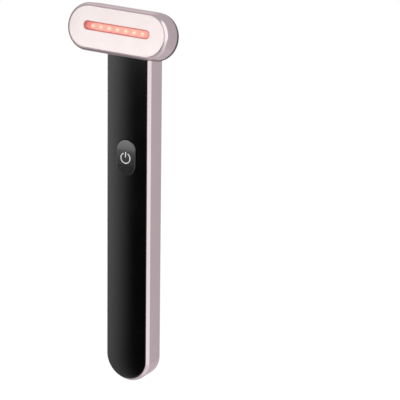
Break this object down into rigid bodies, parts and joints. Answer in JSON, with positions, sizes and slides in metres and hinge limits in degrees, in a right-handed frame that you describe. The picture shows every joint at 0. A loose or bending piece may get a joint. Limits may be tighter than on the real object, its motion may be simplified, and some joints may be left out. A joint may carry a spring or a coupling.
{
  "type": "red light therapy wand",
  "caption": "Hand-held red light and warming skin wand: slim flat handle with a push button, and a swivelling T-shaped head with a row of lamps behind a slot.",
  "frame": {"origin": "below the middle of the wand's width and depth, level with the handle's lowest point", "axes": "+Z along the handle up to the head, +Y towards the flat back of the handle, +X to the right of someone who faces the lamps"},
  "size_m": [0.0464, 0.0202, 0.1605],
  "materials": {
    "rose_metal": "satin rose anodised",
    "face_metal": "fine satin, pale",
    "gloss_black": "polished",
    "matt_black": "fine matt",
    "white_plastic": "moulded",
    "red_window": "clear, red tinted",
    "lamp_lens": "clear lens",
    "circuit_board": "solder mask",
    "steel": "plain",
    "brass": "turned",
    "cell_foil": "laminated foil",
    "foam_rubber": "matt",
    "heater_film": "amber film",
    "lead_sheath": "soft sheath"
  },
  "bodies": {
    "handle": {"handle_shell": "rose_metal", "front_plate": "gloss_black", "switch_body": "matt_black", "main_board": "circuit_board", "board_screw_1": "steel", "board_screw_2": "steel", "controller_chip": "matt_black", "charge_board": "circuit_board", "charge_board_screw": "steel", "charge_socket_shell": "steel", "charge_socket_insert": "matt_black", "battery_cell": "cell_foil", "battery_pad": "foam_rubber", "motor_can": "steel", "motor_boot": "foam_rubber", "neck_block": "matt_black", "neck_screw_1": "steel", "neck_screw_2": "steel", "swivel_bushing": "white_plastic", "wave_washer": "steel", "handle_lead": "lead_sheath"},
    "button": {"button_cap": "gloss_black", "switch_plunger": "white_plastic"},
    "motor_rotor": {"motor_shaft": "steel", "eccentric_weight": "brass"},
    "head": {"head_housing": "rose_metal", "face_plate": "face_metal", "lamp_window": "red_window", "warming_film": "heater_film", "lamp_tray": "white_plastic", "lamp_board": "circuit_board", "lamp_board_screw_1": "steel", "lamp_board_screw_2": "steel", "lamp_1": "lamp_lens", "lamp_2": "lamp_lens", "lamp_3": "lamp_lens", "lamp_4": "lamp_lens", "lamp_5": "lamp_lens", "lamp_6": "lamp_lens", "lamp_7": "lamp_lens", "head_back_cover": "matt_black", "swivel_spindle": "steel", "spindle_screw_1": "steel", "spindle_screw_2": "steel", "spindle_screw_3": "steel", "stop_pin": "steel", "retaining_clip": "steel", "head_lead": "lead_sheath"}
  },
  "joints": [
    {"name": "head_swivel", "type": "hinge", "parent": "handle", "child": "head", "pos_m": [0, 0.00121, 0.14922], "axis": [0, 0.9681, -0.2504], "range_deg": [-90, 90]},
    {"name": "button_press", "type": "slide", "parent": "handle", "child": "button", "axis": [0, 1, 0], "range_m": [0, 0.0005], "stiffness_N_per_m": 1200, "springref_m": -0.0008},
    {"name": "motor_spin", "type": "hinge", "parent": "handle", "child": "motor_rotor", "pos_m": [0, 0.00536, 0.1183], "axis": [0, 0, 1], "continuous": true}
  ]
}
